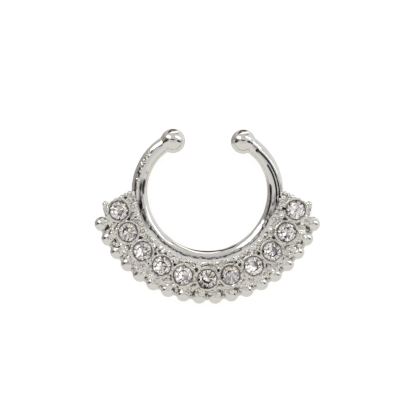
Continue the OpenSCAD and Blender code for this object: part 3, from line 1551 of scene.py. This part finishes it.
@dataclass
class Casting:
    """The whole plated casting as one fused body."""

    hoop: Hoop
    stones: StoneRow
    plate: Crescent
    beads: BeadBorder
    grains: GrainWork
    hoop_y: float
    cell: float = 0.035
    pad: float = 0.12
    triangles: int = 190000
    cleft_reach: float = 0.22
    coarse: Relief = Relief(0.26, 0.026, 11)
    fine: Relief = Relief(0.12, 0.013, 12)
    ripple: Relief = Relief(1.1, 0.006, 13)
    drag: Relief = Relief(0.4, 0.005, 14)
    drag_on_balls: float = 0.3
    ball_clear: float = 1.25
    ball_fade: float = 0.3
    rough_span: Pair = (5.7, 6.0)
    end_span: Pair = (0.05, 0.2)
    bead_smooth: float = 0.12
    back_share: float = 0.15
    back_to: float = 0.25
    coarse_on_walls: float = 0.3
    fine_on_walls: float = 0.08
    wall_levels: Pair = (0.1, 0.5)

    def cast_share(self, points: np.ndarray) -> np.ndarray:
        """How rough each point is, as cast.

        Args:
            points: Places on the casting.

        Returns:
            1 on the crescent's face and 0 on the hoop, the corner beads and the outsides of the others.
        """
        x, y, z = points.T
        out = smooth_step(np.hypot(x, y), *self.rough_span)
        edge = self.beads.row_r - self.bead_smooth
        inside = 1 - smooth_step(np.hypot(x, y - self.plate.centre_y), edge, edge + self.bead_smooth)
        on_plate = 1 - smooth_step(self.plate.past_end(x, y), *self.end_span)
        front = self.back_share + (1 - self.back_share) * smooth_step(z, 0.0, self.back_to)
        share = out * inside * on_plate * front
        radius = self.grains.corner_d / 2
        bead_low = self.stones.plate_t - radius
        raised = smooth_step(z, bead_low, bead_low + self.bead_smooth)
        for cx, cy in self.grains.corner_beads():
            away = smooth_step(np.hypot(x - cx, y - cy), radius, radius + self.bead_smooth)
            share = share * (1 - raised * (1 - away))
        return share

    def calmer_on_walls(self, metal: DistanceField, on_walls: float) -> Share:
        """Cast roughness that is less on upright walls, which the mould leaves smoother.

        Args:
            metal: The field that tells how level the surface lies.
            on_walls: Share that the walls keep.

        Returns:
            The share at any points.
        """

        def share(points: np.ndarray) -> np.ndarray:
            """Roughness at points."""
            level = smooth_step(metal.levelness(points), *self.wall_levels)
            return self.cast_share(points) * (on_walls + (1 - on_walls) * level)

        return share

    def drag_share(self, points: np.ndarray) -> np.ndarray:
        """Where polishing left the wire wavy.

        Args:
            points: Places on the casting.

        Returns:
            1 on the wire, less on the balls.
        """
        x, y, _ = points.T
        away = np.hypot(np.abs(x) - self.hoop.ball_x, y - self.hoop.ball_y)
        off_ball = smooth_step(away, self.ball_clear, self.ball_clear + self.ball_fade)
        return self.drag_on_balls + (1 - self.drag_on_balls) * off_ball

    def field(self) -> DistanceField:
        """Pours every form into one distance field.

        Returns:
            The filled field.
        """
        reach = self.beads.row_r + self.beads.bead_d / 2 + self.pad
        high_y = self.hoop.ball_y + self.hoop.ball_d / 2 + self.pad
        low_y = self.plate.centre_y - reach
        high_z = self.hoop.ball_d + self.pad
        metal = DistanceField((-reach, low_y, -self.pad), (reach, high_y, high_z), self.cell)
        for part in (self.hoop, self.plate, self.stones, self.beads, self.grains):
            part.pour(metal)
        self.hoop.mark(metal)
        metal.roughen(self.ripple, everywhere)
        metal.roughen(self.drag, self.drag_share)
        metal.roughen(self.coarse, self.calmer_on_walls(metal, self.coarse_on_walls))
        metal.roughen(self.fine, self.calmer_on_walls(metal, self.fine_on_walls))
        self.stones.cut_seats(metal)
        return metal

    def facts(self, metal: DistanceField, places: np.ndarray, normals: np.ndarray) -> dict[Fact, np.ndarray]:
        """Works out what the plating has to know.

        Args:
            metal: The finished field.
            places: The mesh's corners.
            normals: Their outward normals.

        Returns:
            One share for each corner, by what it tells.
        """
        upright = 1 - smooth_step(metal.levelness(places), *self.wall_levels)
        return {
            # openness drives the painted shade in clefts
            Fact.OPENNESS: metal.openness(places, normals, self.cleft_reach),
            Fact.CAST: self.calmer_on_walls(metal, self.fine_on_walls)(places),
            Fact.WALL: self.cast_share(places) * upright,
            # painted shade in the seat gaps
            Fact.SEAT_SHADE: self.stones.painted_darkness(places),
            # painted dark reflections and shade on the wire, painted shade in the pits
            Fact.DARK: np.maximum(self.hoop.painted_darkness(places), self.grains.painted_darkness(places)),
        }

    def build(self, finish: bpy.types.Material) -> bpy.types.Object:
        """Meshes the casting and dresses it.

        Args:
            finish: The plating.

        Returns:
            The finished piece.
        """
        metal = self.field()
        points, quads = metal.surface()
        piece = link("casting", mesh_from_arrays("casting", points, quads))
        mesh = thinned(piece, self.triangles)
        low, high = (np.array(corner) / MM - (0, self.hoop_y, 0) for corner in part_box("cast_frame"))
        places = np.clip(corners(mesh), low, high)
        mesh.vertices.foreach_set("co", places.astype(np.float32).ravel())
        normals = self.hoop.leaned(places, metal.normals(places))
        for fact, shares in self.facts(metal, places, normals).items():
            tell(mesh, fact, shares)
        mesh.transform(Matrix.Translation((0, self.hoop_y * MM, 0)) @ Matrix.Scale(MM, 4))
        mesh.polygons.foreach_set("use_smooth", np.ones(len(mesh.polygons), bool))
        mesh.normals_split_custom_set_from_vertices(normals.tolist())
        mesh.materials.clear()
        mesh.materials.append(finish)
        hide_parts("cast_frame")
        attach(piece, BODY)
        return piece


@dataclass
class CutStones:
    """The crystals, each cut from a round blank by its facet planes."""

    row: StoneRow
    hoop_y: float
    blank_sides: int = 64
    seed: int = 3
    tilt: float = 4.5
    star_r: float = 0.43
    star_slope: float = 0.36
    spoke_slope: float = 0.815
    cut_error: float = 0.013
    cut_weld: float = 1e-5
    foil_below: float = -0.1
    sink: float = 0.03

    @property
    def depth(self) -> float:
        """Depth of a stone from its table to its point."""
        return self.row.crown_h + self.row.girdle_h + self.row.pavilion_h

    def blank(self) -> bmesh.types.BMesh:
        """Turns a round blank as deep as a stone.

        Returns:
            The blank, with its table at height 0.
        """
        stock = bmesh.new()
        bmesh.ops.create_cone(
            stock, cap_ends=True, segments=self.blank_sides,
            radius1=self.row.stone_d / 2, radius2=self.row.stone_d / 2, depth=self.depth,
            matrix=Matrix.Translation((0, 0, -self.depth / 2)),
        )
        return stock

    def slice(
        self, stock: bmesh.types.BMesh, point: Triple, outward: Triple, dice: np.random.Generator
    ) -> None:
        """Cuts one facet, a little off its true angle.

        Args:
            stock: The stone so far.
            point: A point on the facet's plane.
            outward: The plane's normal, out of the stone.
            dice: The cutter's error.
        """
        parts = stock.verts[:] + stock.edges[:] + stock.faces[:]
        plane = (Vector(outward) + Vector(dice.normal(0, self.cut_error, 3))).normalized()
        cut = bmesh.ops.bisect_plane(
            stock, geom=parts, dist=self.cut_weld, plane_co=point, plane_no=plane, clear_outer=True
        )
        edges = [part for part in cut["geom_cut"] if isinstance(part, bmesh.types.BMEdge)]
        bmesh.ops.contextual_create(stock, geom=edges)

    def shape(self, dice: np.random.Generator) -> bmesh.types.BMesh:
        """Cuts a blank to the full stone.

        Args:
            dice: The cutter's error.

        Returns:
            The stone, with its table at height 0.
        """
        row = self.row
        radius = row.stone_d / 2
        half = math.pi / row.facets
        edge = row.table_d / 2 * math.cos(half)
        crown = math.atan2(row.crown_h, radius - edge)
        back = math.atan2(row.pavilion_h, radius)
        tip = (0.0, 0.0, -self.depth)
        stock = self.blank()
        for k in range(row.facets):
            turn = 2 * k * half + half
            ridge = turn + half
            up = (*polar(math.sin(crown), turn), math.cos(crown))
            self.slice(stock, (*polar(edge, turn), 0.0), up, dice)
            down = (*polar(math.sin(back), turn), -math.cos(back))
            self.slice(stock, tip, down, dice)
            star = self.leaning(ridge, self.star_slope)
            self.slice(stock, (*polar(self.star_r, ridge), 0.0), star, dice)
            x, y, z = self.leaning(ridge, self.spoke_slope)
            self.slice(stock, tip, (x, y, -z), dice)
        return stock

    def leaning(self, turn: float, slope: float) -> Triple:
        """A facet's upward normal for its direction and its slope, rise over run."""
        size = math.hypot(1, slope)
        return tuple(part / size for part in (*polar(slope, turn), 1))

    def build(self, crystal: bpy.types.Material, foil: bpy.types.Material) -> list[bpy.types.Object]:
        """Makes and dresses every stone.

        Args:
            crystal: Finish of the crown.
            foil: Finish of the back.

        Returns:
            The stones, from the left.
        """
        dice = np.random.default_rng(self.seed)
        pieces = []
        table_z = self.row.rim_z + self.row.table_rise
        for i in range(self.row.count):
            mesh = bpy.data.meshes.new(f"crystal_{i + 1}")
            mesh.materials.append(crystal)
            mesh.materials.append(foil)
            stock = self.shape(dice)
            for face in stock.faces:
                face.material_index = int(face.normal.z < self.foil_below)
            stock.to_mesh(mesh)
            stock.free()
            edge = np.hypot(*corners(mesh)[:, :2].T) / (self.row.stone_d / 2)
            tell(mesh, Fact.EDGE, edge)
            x, y = self.row.spot(i)
            lean = Matrix.Rotation(math.radians(dice.uniform(0, self.tilt)), 4, "X")
            spin = Matrix.Rotation(dice.uniform(0, math.tau), 4, "Z")
            seat = Matrix.Translation((x * MM, (y + self.hoop_y) * MM, (table_z - self.sink) * MM))
            mesh.transform(seat @ Matrix.Scale(MM, 4) @ spin @ lean)
            piece = link(mesh.name, mesh)
            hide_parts(f"stone_{i + 1}")
            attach(piece, BODY)
            pieces.append(piece)
        return pieces


@dataclass(frozen=True)
class Card:
    """One bright or dark oval in the studio, placed as a mirror ball seen from above shows it."""

    centre: Pair
    half: Pair
    colour: Triple
    turn: float = 0.0
    soft: float = 0.3


@dataclass(frozen=True)
class Band:
    """A darker band all round the studio at one height, as a mirror ball seen from above shows it."""

    radius: float
    half: float
    level: float


@dataclass(frozen=True)
class Sparkle:
    """What a cut stone throws back: the room broken into small bright and dark patches."""

    scale: float = 7.0
    levels: tuple[tuple[float, Triple], ...] = (
        (0.0, (0.02, 0.018, 0.015)),
        (0.2, (0.15, 0.14, 0.13)),
        (0.31, (0.38, 0.36, 0.38)),
        (0.46, (0.55, 0.54, 0.58)),
        (0.65, (0.72, 0.71, 0.7)),
        (0.8, (0.9, 0.88, 0.86)),
        (0.91, (1.45, 1.42, 1.4)),
        (0.95, (1.4, 0.85, 0.4)),
        (0.968, (0.35, 0.55, 1.2)),
        (0.982, (1.15, 1.05, 0.8)),
    )

    def paint(self, board: NodeBoard, ray: bpy.types.NodeSocket) -> bpy.types.NodeSocket:
        """Colour by direction.

        Args:
            board: Where the nodes go.
            ray: The direction.

        Returns:
            The colour socket.
        """
        cells = board.put("TexVoronoi", ray)
        board.fill(cells, {"Scale": self.scale})
        pick = board.put("SeparateColor", cells.outputs["Color"]).outputs[0]
        ramp = board.put("ValToRGB", pick)
        ramp.color_ramp.interpolation = "CONSTANT"
        stops = ramp.color_ramp.elements
        stops.remove(stops[1])
        for start, colour in self.levels:
            stop = stops[0] if start == 0 else stops.new(start)
            stop.color = (*colour, 1.0)
        return ramp.outputs[0]


@dataclass
class Studio:
    """The room round the ring: pale below, softer above, with lamps and dark gaps overhead."""

    low_colour: Triple = (0.8, 0.79, 0.76)
    left_colour: Triple = (0.46, 0.43, 0.41)
    high_colour: Triple = (0.66, 0.66, 0.65)
    right_colour: Triple = (0.85, 0.85, 0.88)
    lamp: Triple = (3.0, 3.0, 3.0)
    gap: Triple = (0.04, 0.032, 0.032)
    brown_gap: Triple = (0.08, 0.04, 0.022)
    horizon_span: Pair = (-0.12, 0.12)
    left_span: Pair = (-0.85, -0.3)
    right_span: Pair = (0.1, 0.75)
    waver: float = 0.06
    waver_scale: float = 5.0
    waver_detail: float = 2.0
    waver_blend: float = 0.5
    floor_r: float = 0.6
    floor_sides: int = 96
    floor_gap: float = 0.00001
    bands: tuple[Band, ...] = (Band(0.715, 0.03, 0.9), Band(0.982, 0.013, 0.45))
    sparkle: Sparkle = Sparkle()

    def cards(self) -> tuple[Card, ...]:
        """Lays out the lamps and gaps.

        Returns:
            The cards, from the back to the front.
        """
        return (
            Card((-0.82, 0.12), (0.2, 0.3), (0.4, 0.37, 0.35), soft=0.5),
            Card((-0.5, 0.12), (0.17, 0.13), (0.15, 0.135, 0.13), soft=0.6),
            Card((-0.26, 0.77), (0.2, 0.08), self.brown_gap, turn=42, soft=0.4),
            Card((0.06, 0.9), (0.26, 0.06), self.brown_gap, soft=0.4),
            Card((0.12, 0.72), (0.38, 0.05), (1.6, 1.6, 1.55), turn=8, soft=0.5),
            Card((0.33, 0.6), (0.14, 0.05), (0.5, 0.35, 0.26), turn=15, soft=0.5),
            Card((-0.35, 0.34), (0.17, 0.115), self.lamp, turn=-10, soft=0.25),
            Card((0.43, 0.3), (0.23, 0.055), self.lamp, turn=-28, soft=0.35),
            Card((0.0, -0.1), (0.3, 0.07), (0.66, 0.66, 0.71), soft=0.4),
            Card((-0.57, 0.0), (0.16, 0.075), self.gap, turn=18),
            Card((0.0, 0.1), (0.22, 0.055), self.gap, turn=-5, soft=0.4),
            Card((0.5, -0.03), (0.19, 0.085), self.gap, turn=-20, soft=0.35),
        )

    def disc(self, board: NodeBoard, ray: bpy.types.NodeSocket) -> bpy.types.NodeSocket:
        """Turns a direction into the place where a mirror ball seen from above shows it.

        Args:
            board: Where the nodes go.
            ray: The direction.

        Returns:
            The place on the ball's disc, a little wavering, with height 0.
        """
        facing = board.vector("NORMALIZE", board.vector("ADD", ray, (0.0, 0.0, 1.0)))
        noise = board.put("TexNoise", facing, None, self.waver_scale, self.waver_detail, self.waver_blend)
        centred = board.vector("SUBTRACT", noise.outputs["Color"], grey(0.5))
        shift = board.vector("MULTIPLY", centred, (self.waver, self.waver, 0.0))
        return board.vector("MULTIPLY", board.vector("ADD", facing, shift), (1.0, 1.0, 0.0))

    def walls(self, board: NodeBoard, place: bpy.types.NodeSocket) -> bpy.types.NodeSocket:
        """The bare room's colour.

        Args:
            board: Where the nodes go.
            place: The place on the mirror ball's disc.

        Returns:
            The colour socket.
        """
        apart = board.put("SeparateXYZ", place)
        high = board.ramp(apart.outputs[1], self.horizon_span)
        left = board.ramp(apart.outputs[0], self.left_span)
        right = board.ramp(apart.outputs[0], self.right_span)
        upper = board.blend(left, self.left_colour, self.high_colour)
        return board.blend(high, self.low_colour, board.blend(right, upper, self.right_colour))

    def hang(
        self, board: NodeBoard, place: bpy.types.NodeSocket, colour: bpy.types.NodeSocket
    ) -> bpy.types.NodeSocket:
        """Hangs the cards in the room, then darkens its bands.

        Args:
            board: Where the nodes go.
            place: The place on the mirror ball's disc.
            colour: The bare room's colour.

        Returns:
            The colour socket.
        """
        for card in self.cards():
            centre, scale = (*card.centre, 0.0), (*card.half, 1.0)
            turn = (0.0, 0.0, math.radians(card.turn))
            local = board.put("Mapping", place, centre, turn, scale, vector_type="TEXTURE").outputs[0]
            share = board.ramp(board.length(local), (1 - card.soft, 1 + card.soft), (1.0, 0.0))
            colour = board.blend(share, colour, card.colour)
        away = board.length(place)
        for band in self.bands:
            beside = board.number("ABSOLUTE", board.number("SUBTRACT", away, band.radius))
            share = board.ramp(beside, (0.0, 2 * band.half), (1.0, 0.0))
            colour = board.put("MixRGB", share, colour, grey(band.level), blend_type="MULTIPLY").outputs[0]
        return colour

    def light(self) -> None:
        """Paints the room on the world, white to the camera and broken up inside the stones."""
        world = bpy.data.worlds.new("studio")
        bpy.context.scene.world = world
        world.use_nodes = True
        board = NodeBoard(world.node_tree)
        ray = board.put("TexCoord").outputs["Generated"]
        place = self.disc(board, ray)
        colour = self.hang(board, place, self.walls(board, place))
        path = board.put("LightPath")
        broken = board.blend(path.outputs["Is Transmission Ray"], colour, self.sparkle.paint(board, ray))
        shown = board.blend(path.outputs["Is Camera Ray"], broken, grey(1.0))
        board.fill(board.tree.nodes["Background"], {"Color": shown})

    def floor(self, paper: bpy.types.Material) -> bpy.types.Object:
        """Lays the paper under the ring.

        Args:
            paper: Its finish.

        Returns:
            The floor.
        """
        mesh = bpy.data.meshes.new("floor")
        sheet = bmesh.new()
        bmesh.ops.create_circle(sheet, cap_ends=True, segments=self.floor_sides, radius=self.floor_r)
        bmesh.ops.translate(sheet, verts=sheet.verts, vec=(0, 0, -self.floor_gap))
        sheet.to_mesh(mesh)
        sheet.free()
        mesh.materials.append(paper)
        floor = link("floor", mesh)
        floor.visible_glossy = False
        floor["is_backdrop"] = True
        return floor


@dataclass
class Camera:
    """Camera straight above the ring, framed as the photo is."""

    hoop_y: float
    pixels_per_mm: float = 12.0
    hoop_pixel: Pair = (207.3, 190.8)
    distance: float = 0.36
    sensor: float = 36.0
    near_share: float = 0.01
    far_share: float = 10.0

    def place(self) -> bpy.types.Object:
        """Makes the camera and sets it on the scene.

        Returns:
            The camera.
        """
        width = PHOTO_WIDTH / self.pixels_per_mm * MM
        data = bpy.data.cameras.new("camera")
        data.sensor_width = self.sensor
        data.lens = self.sensor * self.distance / width
        data.clip_start = self.distance * self.near_share
        data.clip_end = self.distance * self.far_share
        middle = PHOTO_WIDTH / 2
        x = (middle - self.hoop_pixel[0]) / self.pixels_per_mm
        y = self.hoop_y - (middle - self.hoop_pixel[1]) / self.pixels_per_mm
        camera = bpy.data.objects.new("camera", data)
        camera.location = (x * MM, y * MM, self.distance)
        bpy.context.scene.collection.objects.link(camera)
        bpy.context.scene.camera = camera
        return camera


def main() -> None:
    """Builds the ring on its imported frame, then the studio round it."""
    logging.basicConfig(level=logging.INFO, format="%(message)s")
    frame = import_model()
    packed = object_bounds()
    LOG.info("packed frame: %d nodes", len(frame["nodes"]))
    hoop = Hoop()
    hoop_y = packed[1].y / MM - hoop.ball_y - hoop.ball_d / 2
    stones = StoneRow(hoop)
    plate = Crescent(stones)
    beads = BeadBorder(plate)
    grains = GrainWork(plate, beads)
    casting = Casting(hoop, stones, plate, beads, grains, hoop_y).build(PlatedMetal().build())
    crystals = CutStones(stones, hoop_y).build(ClearCrystal().build(), MirrorFoil().build())
    for piece in (casting, *crystals):
        LOG.info("%s: %d triangles", piece.name, triangles_in(piece.data))
    studio = Studio()
    studio.light()
    studio.floor(BrightPaper().build())
    Camera(hoop_y).place()
    bpy.context.scene.view_settings.view_transform = "Standard"


if __name__ == "__main__":
    main()
